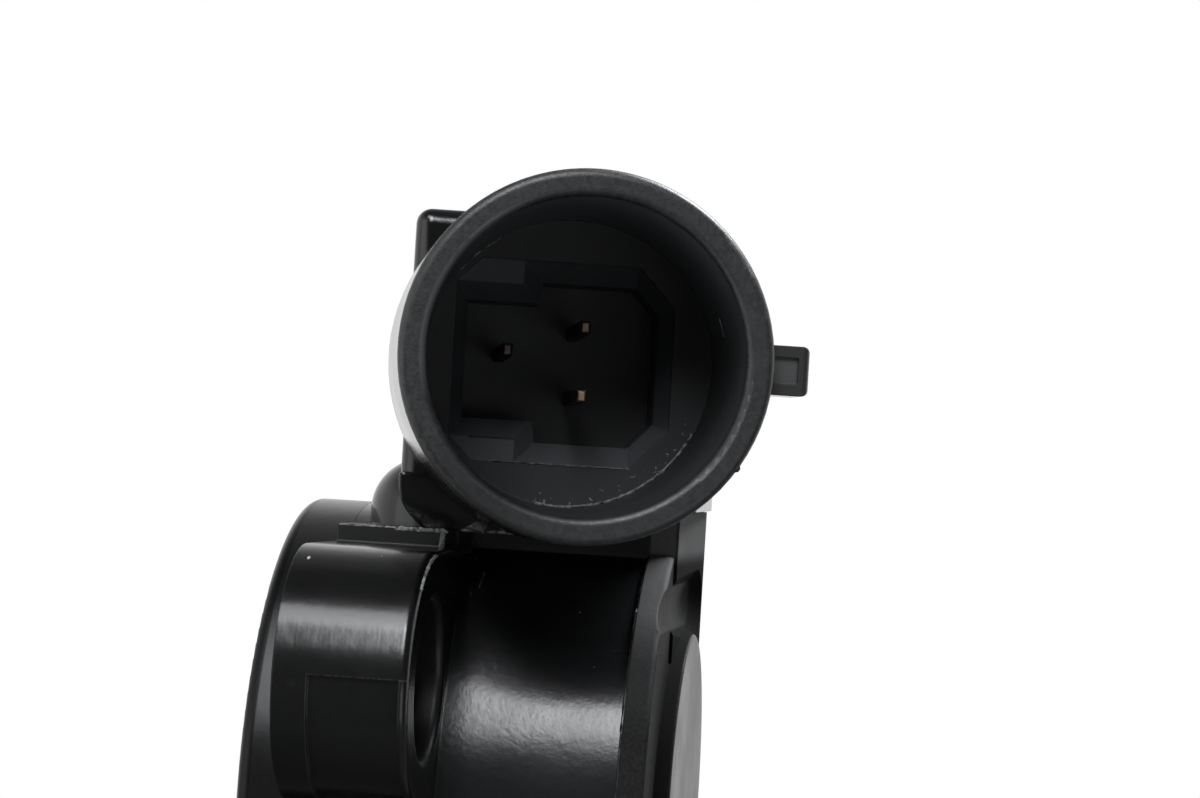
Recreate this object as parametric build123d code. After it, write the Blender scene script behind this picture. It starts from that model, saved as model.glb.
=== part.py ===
"""Throttle position sensor with a round three-blade connector.

X is the rotor axis, from the mounting face (x = 0) toward the cover.
The connector mouth faces -Y. Z is up. All sizes are in millimetres.
"""
import os
from math import cos, radians, sin

from build123d import *

# Housing along the rotor axis
PILOT_LENGTH = 4.1
EAR_THICK = 8.0
SEAM_X = 19.2
PILOT_R = 18.4
BODY_R = 17.1
EDGE_ROUND = 0.8

# Ears
BOLT_OUT = 5.7
EAR_ANGLE = 21.4
EAR_R = 7.7
SCREW_HOLE_R = 2.65
SCREW_HEAD_R = 4.8
SCREW_HEAD_DEPTH = 3.0
EAR_ROUND = 0.5
ARM_Y = 15.6
ARM_Z = 5.8
RELIEF_DEPTH = 0.25
RELIEF_X = 2.1
RELIEF_TOP = 8.7
LIP_ROUND = 0.5
LEDGE_Y = -12.0
LEDGE_Z = 17.1
LEDGE_X = 6.7

# Connector shroud
MOUTH = (16.85, -26.0, 28.0)
LEAN = 11.0
SHROUD_R = 11.0
SHROUD_BASE_R = 11.35
SHROUD_DEPTH = 18.0
MOUTH_R = 9.35
MOUTH_DEPTH = 9.2
INNER_R = 9.1
SHELF_DEPTH = 17.0
KEY_SET = 0.35
LEAD_IN = 1.3
FLOOR_DEPTH = 23.0
RIM_ROUND = 0.5
NIB_REACH = 2.4
NIB_WIDTH = 2.95
NIB_FRONT = 2.6
NIB_LENGTH = 4.6
NIB_ROUND = 0.45
NIB_BORDER = 0.7
NIB_POCKET = 0.25

# Upper half of the keyed entry in the socket's floor, across and up from the connector axis
SHELF_EDGE = [(6.6, 3.9), (4.2, 6.4), (-5.8, 6.4), (-7.3, 4.9)]
ENTRY = [(6.6, 3.9), (4.2, 6.4), (-3.1, 6.4), (-3.1, 4.9), (-7.3, 4.9)]
THROAT = [(5.7, 3.5), (4.2, 5.1), (-1.8, 5.1), (-2.0, 3.75), (-6.5, 3.75)]

# Block behind the shroud, neck and shoulder
BLOCK_LEFT = 3.3
BLOCK_RIGHT = 22.0
BLOCK_TOP = 37.4
BLOCK_BACK = 6.5
BLOCK_UNDER = 19.1
NECK_HALF = 6.2
NECK_LOW = 11.5
SHOULDER_LEFT = 0.8
SHOULDER_RIGHT = 11.6
SHOULDER_TOP = 21.5
SHOULDER_FRONT = -9.4
SHOULDER_CORNER = 4.4
SHOULDER_ROUND = 3.4
BLOCK_ROUND = 1.0
JOIN = 1.0

# Cavity and bearing
CAVITY_R = 13.0
CAVITY_X = 9.0
CARD_LEDGE_X = 15.2
CARD_SEAT_R = 14.0
RECESS_R = 13.5
RECESS_X = 1.5
HUB_R = 6.5
RUN_CLEAR = 0.05
SEAL_R = 9.0
SEAL_X = 4.0
SPRING_R = 8.9
WIRE_R = 0.35
WIRE_SIDES = 6
SPRING_TURNS = 3
SPRING_PITCH = 0.9
GROOVE_WIDTH = 2.4
GROOVE_X = 5.4
LEG = 0.9
LEG_GAP = 0.1
SEAL_LIP = 0.85
SEAL_FACE = 0.2

# Rotor
HUB_REACH = 1.5
HUB_CHAMFER = 0.5
DISC_R = 10.6
DISC_X = 9.3
DISC_THICK = 2.0
STEM_R = 3.4
STEM_END = 16.8
JOURNAL_R = 2.0
JOURNAL_END = 19.6
SOCKET_R = 4.0
SOCKET_FLATS = 5.2
SOCKET_DEPTH = 7.0
LUG_REACH = 12.4
LUG_HALF = 9.0
TRAVEL = 95.0
STOP_GAP = 0.6
STOP_HALF = 9.0
STOP_R = 11.2
LUG_ANGLE = 222.0

# Card, tracks and wiper
CARD_GAP = 0.1
CARD_THICK = 1.0
CARD_HOLE_R = 3.8
TRACK_THICK = 0.1
OUTER_TRACK_R = 8.6
INNER_TRACK_R = 5.6
TRACK_HALF = 0.7
WIPER_ANGLE = 150.0
WIPER_THICK = 0.3
WIPER_GAP = 0.02
FINGER_WIDTH = 0.9
FINGER_BACK = 2.6
FINGER_TIP = 2.5
TIP_LAND = 0.5
BASE_LENGTH = 2.0
TRACK_BEFORE = 45.0
TRACK_AFTER = 25.0

# Terminals
BLADE_WIDE = 0.8
BLADE_THICK = 0.64
TIP_DEPTH = 10.2
BEND_R = 1.0
FOOT_Z = 12.2
TIP_CHAMFER = 0.15
BLADE_U = 0.5
BLADE_V = 2.1
SIDE_BLADE_U = -4.2
SIDE_BLADE_V = 0.45
LEG_WALL = 1.7
LEG_STEP_B = 3.3
LEG_STEP_A = 2.0

# Cover
COVER_R = 17.4
COVER_THICK = 1.6
COVER_ROUND = 0.3
PAD_HIGH = 1.05
PAD_R = 11.0
PAD_DRAFT = 0.4
TAB_HALF = 6.2
TAB_TOP = 19.0
TAB_NEAR = 0.2
TAB_FAR = 0.85
CHANNEL_R = 3.0
CHANNEL_DEEP = 0.35
CHANNEL_Z = 12.9
CHANNEL_END = 3.5
SPIGOT_R = 13.8
SPIGOT_WALL = 1.6
BUSH_WALL = 1.4
BUSH_END_GAP = 0.3
WASHER_THICK = 0.4
WASHER_GAP = 0.1

# Tolerance for picking edges by place
NEAR = 0.01

COVER_X = SEAM_X + COVER_THICK
BOLT_R = BODY_R + BOLT_OUT
EAR_Y = BOLT_R * cos(radians(EAR_ANGLE))
EAR_Z = BOLT_R * sin(radians(EAR_ANGLE))
BEND_C = FLOOR_DEPTH + LEG_WALL
BEND_B = BEND_C + LEG_STEP_B
BEND_A = BEND_B + LEG_STEP_A
CARD_X = CARD_LEDGE_X
CARD_FRONT = CARD_X + CARD_THICK
TRACK_X = CARD_X - TRACK_THICK
LEAN_S = sin(radians(LEAN))
LEAN_C = cos(radians(LEAN))
CONNECTOR = Plane(origin=MOUTH, x_dir=(LEAN_C, LEAN_S, 0), z_dir=(LEAN_S, -LEAN_C, 0))


def disc(r, x0, x1, y=0.0, z=0.0):
    """Cylinder along X between two stations."""
    return extrude(Plane.YZ.offset(x0) * Pos(y, z) * Circle(r), x1 - x0)


def socket(r, d0, d1):
    """Cylinder on the connector axis between two depths behind the rim."""
    return extrude(CONNECTOR.offset(-d1) * Circle(r), d1 - d0)


def taper(r0, d0, r1, d1):
    """Cone on the connector axis from one radius and depth to another."""
    return loft([CONNECTOR.offset(-d1) * Circle(r1), CONNECTOR.offset(-d0) * Circle(r0)])


def keyway(outline, depth):
    """Outline mirrored about the connector's level plane, as a face at a depth."""
    mirrored = [(u, -v) for u, v in reversed(outline)]
    return CONNECTOR.offset(-depth) * make_face(Polyline(*outline, *mirrored, close=True))


def at_depth(u, v, d):
    """Point in the connector's own directions, d behind the rim."""
    return CONNECTOR.from_local_coords((u, v, -d))


def sector(r0, r1, a0, a1, x0, x1):
    """Ring sector about X between two angles measured from +Y toward +Z."""
    ring = Circle(r1) - Circle(r0)
    reach = 2 * r1
    corners = [(reach * cos(radians(a)), reach * sin(radians(a))) for a in (a0, (a0 + a1) / 2, a1)]
    fan = make_face(Polyline((0, 0), *corners, close=True))
    return extrude(Plane.YZ.offset(x0) * (ring & fan), x1 - x0)


def bar(x0, x1, y0, y1, z0, z1):
    """Block between two opposite corners."""
    return Pos((x0 + x1) / 2, (y0 + y1) / 2, (z0 + z1) / 2) * Box(x1 - x0, y1 - y0, z1 - z0)


def edges_at(part, x):
    """Edges that lie in the plane at station x."""
    return part.edges().filter_by_position(Axis.X, x - NEAR, x + NEAR)


def ear_outline(sign):
    """Boss and arm of one ear, as a YZ sketch; sign -1 is the ear on the mouth side."""
    y, z = sign * EAR_Y, -sign * EAR_Z
    top = z - sign * EAR_R
    low = z + sign * EAR_R
    arm = make_face(
        Polyline((y, top), (0, top), (0, 0), (sign * ARM_Y, sign * ARM_Z), (y, low), close=True)
    )
    return Pos(y, z) * Circle(EAR_R) + arm


def terminal(u, v, bend_depth):
    """Blade on the connector axis, bent down through the neck and forward to the card."""
    tip = at_depth(u, v, TIP_DEPTH)
    bend = at_depth(u, v, bend_depth)
    foot = Vector(bend.X, bend.Y, FOOT_Z)
    end = Vector(TRACK_X + TRACK_THICK, bend.Y, FOOT_Z)
    path = FilletPolyline(tip, bend, foot, end, radius=BEND_R)
    start_plane = Plane(origin=tip, x_dir=CONNECTOR.x_dir, z_dir=-CONNECTOR.z_dir)
    strip = sweep(start_plane * Rectangle(BLADE_THICK, BLADE_WIDE), path=path)
    return chamfer(strip.faces().sort_by_distance(tip)[0].edges(), TIP_CHAMFER)


# Terminals come first, because the housing is moulded round them
terminals = {
    "terminal_a": terminal(BLADE_U, BLADE_V, BEND_A),
    "terminal_b": terminal(SIDE_BLADE_U, SIDE_BLADE_V, BEND_B),
    "terminal_c": terminal(BLADE_U, -BLADE_V, BEND_C),
}

# Housing: flange, ears, body
front_ear = ear_outline(-1)
back_ear = ear_outline(1)
flange = extrude(Plane.YZ * (Circle(BODY_R) + front_ear + back_ear), EAR_THICK)
flange = fillet(edges_at(flange, EAR_THICK), EAR_ROUND)
pilot = fillet(edges_at(disc(PILOT_R, -PILOT_LENGTH, 0), -PILOT_LENGTH), EDGE_ROUND)
housing = flange + disc(BODY_R, 0, SEAM_X) + pilot
housing += bar(0, LEDGE_X, LEDGE_Y, 0, EAR_Z, LEDGE_Z)

# Neck, shoulder and block
shroud_end = at_depth(0, 0, SHROUD_DEPTH)
front_left = at_depth((BLOCK_LEFT - shroud_end.X) / LEAN_C, 0, SHROUD_DEPTH)
front_right = at_depth((BLOCK_RIGHT - shroud_end.X) / LEAN_C, 0, SHROUD_DEPTH)
block_plan = make_face(
    Polyline(
        (BLOCK_LEFT, front_left.Y),
        (BLOCK_RIGHT, front_right.Y),
        (BLOCK_RIGHT, BLOCK_BACK),
        (BLOCK_LEFT, BLOCK_BACK),
        close=True,
    )
)
block = extrude(Plane.XY.offset(BLOCK_UNDER) * block_plan, BLOCK_TOP - BLOCK_UNDER)
block = fillet(block.edges().filter_by(Axis.Z) + block.edges().group_by(Axis.Z)[-1], BLOCK_ROUND)
neck = bar(BLOCK_LEFT, SEAM_X, -NECK_HALF, NECK_HALF, NECK_LOW, BLOCK_UNDER + JOIN)
shoulder = bar(SHOULDER_LEFT, SHOULDER_RIGHT, SHOULDER_FRONT, BLOCK_BACK, LEDGE_Z, SHOULDER_TOP)
corner = shoulder.edges().filter_by(Axis.Z).group_by(Axis.Y)[0].sort_by(Axis.X)[0]
shoulder = fillet(corner, SHOULDER_CORNER)
top_edges = shoulder.faces().sort_by(Axis.Z)[-1].edges()
back_and_right = top_edges.sort_by(Axis.Y)[-1:] + top_edges.sort_by(Axis.X)[-1:]
shoulder = fillet(top_edges - back_and_right, SHOULDER_ROUND)
housing += neck + shoulder + block

# Shroud, its nib and its socket
housing += taper(SHROUD_R, 0, SHROUD_BASE_R, SHROUD_DEPTH + JOIN / 2)
nib_top = SHROUD_R + NIB_REACH
nib_middle = (nib_top + SHROUD_R - JOIN) / 2
nib_depth = NIB_FRONT + NIB_LENGTH / 2
nib = CONNECTOR * Pos(nib_middle, 0, -nib_depth) * Box(NIB_REACH + JOIN, NIB_WIDTH, NIB_LENGTH)
nib_edges = nib.edges().filter_by(lambda e: abs(CONNECTOR.to_local_coords(e.center()).X - nib_top) < NEAR)
nib = fillet(nib_edges, NIB_ROUND)
pocket_length = NIB_REACH - NIB_BORDER + JOIN
pocket_middle = SHROUD_R - JOIN + pocket_length / 2
nib -= CONNECTOR * Pos(pocket_middle, 0, -NIB_FRONT) * Box(
    pocket_length, NIB_WIDTH - 2 * NIB_BORDER, 2 * NIB_POCKET
)
housing += nib
housing -= socket(MOUTH_R, -JOIN, MOUTH_DEPTH)
housing -= taper(MOUTH_R, MOUTH_DEPTH, INNER_R, SHELF_DEPTH)
key_depth = SHELF_DEPTH + KEY_SET
throat_depth = key_depth + LEAD_IN
housing -= extrude(keyway(SHELF_EDGE, key_depth), KEY_SET)
housing -= loft([keyway(THROAT, throat_depth), keyway(ENTRY, key_depth)], ruled=True)
housing -= extrude(keyway(THROAT, FLOOR_DEPTH), FLOOR_DEPTH - throat_depth)

# Cavity, card seat, bearing bore, seal seat, spring groove, mounting recess
housing -= disc(CAVITY_R, CAVITY_X, SEAM_X)
housing -= disc(CARD_SEAT_R, CARD_LEDGE_X, SEAM_X)
housing -= disc(RECESS_R, -PILOT_LENGTH, RECESS_X)
housing -= disc(HUB_R + RUN_CLEAR, RECESS_X, CAVITY_X)
housing -= disc(SEAL_R, RECESS_X, SEAL_X)
groove_out = SPRING_R + GROOVE_WIDTH / 2
groove_in = SPRING_R - GROOVE_WIDTH / 2
housing -= disc(groove_out, GROOVE_X, CAVITY_X) - disc(groove_in, GROOVE_X, CAVITY_X)
STOP_LOW = LUG_ANGLE - LUG_HALF - STOP_GAP - STOP_HALF
STOP_HIGH = LUG_ANGLE + TRAVEL + LUG_HALF + STOP_GAP + STOP_HALF
for mid in (STOP_LOW, STOP_HIGH):
    low = mid - STOP_HALF
    high = mid + STOP_HALF
    housing += sector(STOP_R, CAVITY_R + JOIN, low, high, CAVITY_X - JOIN, DISC_X + DISC_THICK)

# Screw holes with recessed heads, and the shallow relief on the ear by the mouth
for sign in (-1, 1):
    y, z = sign * EAR_Y, -sign * EAR_Z
    housing -= disc(SCREW_HOLE_R, 0, EAR_THICK, y, z)
    housing -= disc(SCREW_HEAD_R, EAR_THICK - SCREW_HEAD_DEPTH, EAR_THICK, y, z)
relief_end = EAR_THICK - EAR_ROUND
relief = disc(EAR_R + JOIN, RELIEF_X, relief_end, -EAR_Y, EAR_Z)
relief -= disc(EAR_R - RELIEF_DEPTH, RELIEF_X, relief_end, -EAR_Y, EAR_Z)
relief &= bar(RELIEF_X, relief_end, -EAR_Y - EAR_R - JOIN, -EAR_Y, EAR_Z - EAR_R, RELIEF_TOP)
housing -= relief

# Rounds on the rim, the ears and the screw recesses
rim = housing.edges().filter_by(GeomType.CIRCLE).filter_by(
    lambda e: (e.arc_center - Vector(*MOUTH)).length < NEAR
)
housing = fillet(rim, RIM_ROUND)
lips = edges_at(housing, EAR_THICK).filter_by(GeomType.CIRCLE).filter_by(
    lambda e: abs(e.radius - SCREW_HEAD_R) < NEAR
)
housing = fillet(lips, LIP_ROUND)
for strip in terminals.values():
    housing -= strip

# Spring: coil with one leg in the housing and one in the rotor
SPRING_BACK = GROOVE_X + WIRE_R + LEG_GAP
coil_height = SPRING_TURNS * SPRING_PITCH
coil_plane = Plane(origin=(SPRING_BACK, 0, 0), x_dir=(0, 1, 0), z_dir=(1, 0, 0))
helix = coil_plane * Helix(SPRING_PITCH, coil_height, SPRING_R)
start = helix @ 0
section = Plane(origin=start, z_dir=helix % 0) * RegularPolygon(WIRE_R, WIRE_SIDES)
coil = sweep(section, path=helix, is_frenet=True)
fixed_leg = disc(WIRE_R, SPRING_BACK - LEG, SPRING_BACK, start.Y, start.Z)
moving_leg = disc(WIRE_R, SPRING_BACK + coil_height, DISC_X + LEG, start.Y, start.Z)
return_spring = coil + fixed_leg + moving_leg
housing -= disc(WIRE_R + RUN_CLEAR, SPRING_BACK - LEG - LEG_GAP, GROOVE_X, start.Y, start.Z)

# Rotor
rotor = disc(HUB_R, -HUB_REACH, DISC_X) + disc(DISC_R, DISC_X, DISC_X + DISC_THICK)
rotor += disc(STEM_R, DISC_X, STEM_END) + disc(JOURNAL_R, STEM_END, JOURNAL_END)
lug_low = LUG_ANGLE - LUG_HALF
lug_high = LUG_ANGLE + LUG_HALF
rotor += sector(DISC_R - JOIN, LUG_REACH, lug_low, lug_high, DISC_X, DISC_X + DISC_THICK)
hub_edge = edges_at(rotor, -HUB_REACH)
rotor = chamfer(hub_edge, HUB_CHAMFER)
socket_end = SOCKET_DEPTH - HUB_REACH
drive = disc(SOCKET_R, -HUB_REACH, socket_end)
drive &= bar(-HUB_REACH, socket_end, -SOCKET_FLATS / 2, SOCKET_FLATS / 2, -SOCKET_R, SOCKET_R)
rotor -= drive
rotor -= disc(WIRE_R + RUN_CLEAR, DISC_X, DISC_X + LEG + LEG_GAP, start.Y, start.Z)

# Wiper: base plate on the disc, two fingers up to the tracks
WIPER_BACK = DISC_X + DISC_THICK
TIP_X = TRACK_X - WIPER_GAP
finger_profile = make_face(
    Polyline(
        (WIPER_BACK, FINGER_TIP),
        (WIPER_BACK, -FINGER_BACK),
        (TIP_X - WIPER_THICK, FINGER_TIP - 2 * TIP_LAND),
        (TIP_X, FINGER_TIP - TIP_LAND),
        (TIP_X, FINGER_TIP),
        (TIP_X - 2 * WIPER_THICK, FINGER_TIP - TIP_LAND / 2),
        (WIPER_BACK + WIPER_THICK, -FINGER_BACK + 3 * WIPER_THICK),
        (WIPER_BACK + WIPER_THICK, FINGER_TIP),
        close=True,
    )
)
wiper_parts = []
for r in (INNER_TRACK_R, OUTER_TRACK_R):
    at = Plane(origin=(0, 0, r - FINGER_WIDTH / 2), x_dir=(1, 0, 0), z_dir=(0, 0, 1))
    wiper_parts.append(extrude(at * finger_profile, FINGER_WIDTH))
bridge = bar(
    WIPER_BACK,
    WIPER_BACK + WIPER_THICK,
    FINGER_TIP - BASE_LENGTH,
    FINGER_TIP,
    INNER_TRACK_R - FINGER_WIDTH / 2,
    OUTER_TRACK_R + FINGER_WIDTH / 2,
)
wiper = Rot(WIPER_ANGLE - 90, 0, 0) * (wiper_parts[0] + wiper_parts[1] + bridge)

# Card and printed tracks
card = disc(CARD_SEAT_R - CARD_GAP, CARD_X, CARD_FRONT) - disc(CARD_HOLE_R, CARD_X, CARD_FRONT)
TRACK_LOW = WIPER_ANGLE - TRACK_BEFORE
TRACK_HIGH = WIPER_ANGLE + TRAVEL + TRACK_AFTER
resistance = sector(
    OUTER_TRACK_R - TRACK_HALF, OUTER_TRACK_R + TRACK_HALF, TRACK_LOW, TRACK_HIGH, TRACK_X, CARD_X
)
collector = sector(
    INNER_TRACK_R - TRACK_HALF, INNER_TRACK_R + TRACK_HALF, TRACK_LOW, TRACK_HIGH, TRACK_X, CARD_X
)

# Seal and thrust washer
seal_section = make_face(
    Polyline(
        (RECESS_X + SEAL_FACE, SEAL_R),
        (SEAL_X, SEAL_R),
        (SEAL_X, HUB_R + SEAL_LIP),
        (SEAL_X - SEAL_LIP, HUB_R + SEAL_LIP),
        (SEAL_X - SEAL_LIP - SEAL_FACE, HUB_R + RUN_CLEAR),
        (RECESS_X + SEAL_FACE + SEAL_LIP, HUB_R + RUN_CLEAR),
        (RECESS_X + SEAL_FACE, HUB_R + SEAL_LIP),
        close=True,
    )
)
rotor_seal = revolve(seal_section, Axis.X)
BUSH_X = STEM_END + 2 * RUN_CLEAR + WASHER_THICK
washer = disc(STEM_R, BUSH_X - RUN_CLEAR - WASHER_THICK, BUSH_X - RUN_CLEAR)
washer -= disc(JOURNAL_R + WASHER_GAP, STEM_END, BUSH_X)

# Cover: plate with a tab, raised round pad, wedge on the tab, channel between them, spigot and bush
cover_outline = Circle(COVER_R) + Pos(0, TAB_TOP / 2) * Rectangle(2 * TAB_HALF, TAB_TOP)
cover = extrude(Plane.YZ.offset(SEAM_X) * cover_outline, COVER_THICK)
cover = fillet(edges_at(cover, COVER_X), COVER_ROUND)
wedge = make_face(
    Polyline(
        (SEAM_X, -TAB_HALF),
        (COVER_X + TAB_NEAR, -TAB_HALF),
        (COVER_X + TAB_FAR, TAB_HALF),
        (SEAM_X, TAB_HALF),
        close=True,
    )
)
cover += extrude(Plane.XY * wedge, TAB_TOP)
channel_x = COVER_X + CHANNEL_R - CHANNEL_DEEP
channel_at = Plane.XZ.offset(-CHANNEL_END) * Pos(channel_x, CHANNEL_Z)
cover -= extrude(channel_at * Circle(CHANNEL_R), COVER_R + CHANNEL_END)
cover -= Pos(channel_x, CHANNEL_END, CHANNEL_Z) * Sphere(CHANNEL_R)
pad_base = Plane.YZ.offset(COVER_X - CHANNEL_DEEP) * Circle(PAD_R + PAD_DRAFT)
pad_top = Plane.YZ.offset(COVER_X + PAD_HIGH) * Circle(PAD_R)
pad = loft([pad_base, pad_top])
cover += fillet(edges_at(pad, COVER_X + PAD_HIGH), COVER_ROUND)
spigot_x = CARD_FRONT + CARD_GAP
cover += disc(SPIGOT_R, spigot_x, SEAM_X) - disc(SPIGOT_R - SPIGOT_WALL, spigot_x, SEAM_X)
cover += disc(STEM_R + BUSH_WALL, BUSH_X, SEAM_X)
cover -= disc(JOURNAL_R + RUN_CLEAR, BUSH_X, JOURNAL_END + BUSH_END_GAP)

nodes = {
    "housing": housing,
    "cover": cover,
    "rotor": rotor,
    "wiper": wiper,
    "element_card": card,
    "resistance_track": resistance,
    "collector_track": collector,
    "return_spring": return_spring,
    "rotor_seal": rotor_seal,
    "thrust_washer": washer,
    **terminals,
}
os.makedirs("parts", exist_ok=True)
for name, shape in nodes.items():
    shape.label = name
    export_step(shape, f"parts/{name}.step")
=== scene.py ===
"""Studio scene of a throttle position sensor.

The housing, cover, blades, rotor and inner parts come from the CAD frame and get their finishes here.
The mould flash, the pilot's rib, the foot of the connector block, the round wire of the spring and the dust
are modelled here.
"""
from math import cos, pi, radians, sin
from types import SimpleNamespace

import bpy
from mathutils import Matrix, Vector


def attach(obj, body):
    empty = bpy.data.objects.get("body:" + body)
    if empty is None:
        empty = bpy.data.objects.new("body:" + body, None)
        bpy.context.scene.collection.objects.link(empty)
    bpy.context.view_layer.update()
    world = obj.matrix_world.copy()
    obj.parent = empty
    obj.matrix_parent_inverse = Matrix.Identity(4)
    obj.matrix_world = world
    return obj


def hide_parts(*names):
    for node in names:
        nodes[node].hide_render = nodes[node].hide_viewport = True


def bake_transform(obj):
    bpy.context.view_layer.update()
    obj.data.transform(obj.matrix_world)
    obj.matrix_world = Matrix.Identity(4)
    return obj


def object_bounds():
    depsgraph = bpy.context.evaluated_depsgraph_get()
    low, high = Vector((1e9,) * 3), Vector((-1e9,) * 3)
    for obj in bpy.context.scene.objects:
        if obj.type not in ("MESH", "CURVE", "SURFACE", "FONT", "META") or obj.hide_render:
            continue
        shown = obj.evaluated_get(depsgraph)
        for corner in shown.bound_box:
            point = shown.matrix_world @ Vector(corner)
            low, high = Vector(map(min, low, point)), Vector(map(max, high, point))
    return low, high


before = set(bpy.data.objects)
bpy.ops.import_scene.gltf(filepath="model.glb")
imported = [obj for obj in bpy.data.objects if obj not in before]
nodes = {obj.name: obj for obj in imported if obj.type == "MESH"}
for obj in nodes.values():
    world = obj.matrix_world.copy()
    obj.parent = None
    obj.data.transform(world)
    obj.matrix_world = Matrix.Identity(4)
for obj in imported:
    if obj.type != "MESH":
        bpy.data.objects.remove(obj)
cad_low, cad_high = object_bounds()

MM = 0.001
ORIGIN = Vector((0.0, 0.0, 0.0))
AXIS_X = Vector((1.0, 0.0, 0.0))
AXIS_Y = Vector((0.0, 1.0, 0.0))
AXIS_Z = Vector((0.0, 0.0, 1.0))

# Connector, as in the CAD model; depths run inward from the rim
MOUTH = Vector((16.85, -26.0, 28.0)) * MM
LEAN = radians(11.0)
SHROUD_RADIUS = 11.0 * MM
MOUTH_RADIUS = 9.35 * MM
RIM_DEPTH = 0.4 * MM
SHELF_DEPTH = 17.0 * MM
SHELF_RADIUS = 9.1 * MM
FLOOR_DEPTH = 23.0 * MM
ENTRY_REACH = 8.3 * MM
ENTRY_LEFT = -4.6 * MM
ENTRY_RIGHT = 4.2 * MM
ENTRY_LOW = -6.4 * MM
KEY_LEFT = -6.0 * MM
KEY_RIGHT = -3.1 * MM
KEY_LOW = -4.9 * MM
KEY_DEPTH = 17.35 * MM
BLADE_TIP = 10.26 * MM
NIB_FRONT = 2.6 * MM

# Body, cover and pilot
BODY_RADIUS = 17.1 * MM
SEAM_X = 19.2 * MM
SEAM_ARC = radians(359.2)
COVER_X = 20.8 * MM
COVER_RADIUS = 17.4 * MM
COVER_TAB_Z = 16.6 * MM
PAD_TOP_X = 21.85 * MM
PILOT_RADIUS = 18.4 * MM
PILOT_EDGE_X = -3.3 * MM

# Ear
EAR_Y = -21.23 * MM
EAR_Z = 8.32 * MM
EAR_RADIUS = 7.7 * MM
EAR_FACE = 8.0 * MM
SCREW_HEAD_RADIUS = 4.8 * MM
POCKET_LEFT = 2.1 * MM
POCKET_TOP = 8.7 * MM

# Ledge over the ear, shoulder and block
LEDGE_X = 6.7 * MM
LEDGE_Y = -12.0 * MM
LEDGE_Z = 17.1 * MM
LEDGE_LOW = 15.35 * MM
SHOULDER_RIGHT = 11.6 * MM
SHOULDER_FRONT = -9.4 * MM
RIB_LONG = 2.9 * MM
RIB_BACK = 5.5 * MM
RIB_SIDES = 240
ROOT_LEFT = 3.38 * MM
ROOT_FRONT = -10.32 * MM
ROOT_TOP = 20.6 * MM
ROOT_WIDE = 5.0 * MM
ROOT_DEEP = 1.6 * MM
ROOT_INWARD = 1.7 * MM
ROOT_BACK = 0.50 * MM
ROOT_CURVE = 3.0
ROOT_STEPS = 8

# Spring
SPRING_RADIUS = 8.9 * MM
SPRING_TURNS = 3
SPRING_PITCH = 0.9 * MM
SPRING_BACK = 5.85 * MM
SPRING_LEG = 0.9 * MM
LEG_END = 10.2 * MM
WIRE_RADIUS = 0.34 * MM
WIRE_SIDES = 14
COIL_STEPS = 72

# Modelling
MERGE = 0.001 * MM
SMOOTH_ANGLE = radians(40.0)

# Studio
ROOM_LEVEL = 0.10
DIFFUSE_SHARE = 0.7
SWEEP_LEAST = 0.25
FLOOR_RADIUS = 0.088
FLOOR_MIDDLE = (0.012, 0.032)
FLOOR_DROP = 0.05 * MM
FLOOR_WHITE = 0.62
FLOOR_SEEN = (0.86, 0.86, 0.86, 1.0)
FLOOR_MIRRORED = (0.08, 0.08, 0.08, 1.0)
WHITE = (1.0, 1.0, 1.0, 1.0)
LAMP_COLOUR = (0.95, 0.968, 1.0)
FOCAL_LENGTH = 98.04
SENSOR_WIDTH = 36.0

# Directions of the connector: across, up, and out of the mouth
ACROSS = Vector((cos(LEAN), sin(LEAN), 0.0))
OUTWARD = Vector((sin(LEAN), -cos(LEAN), 0.0))
CONNECTOR = Matrix(
    (
        (ACROSS.x, AXIS_Z.x, OUTWARD.x, MOUTH.x),
        (ACROSS.y, AXIS_Z.y, OUTWARD.y, MOUTH.y),
        (ACROSS.z, AXIS_Z.z, OUTWARD.z, MOUTH.z),
        (0.0, 0.0, 0.0, 1.0),
    )
)


# Nodes


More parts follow.
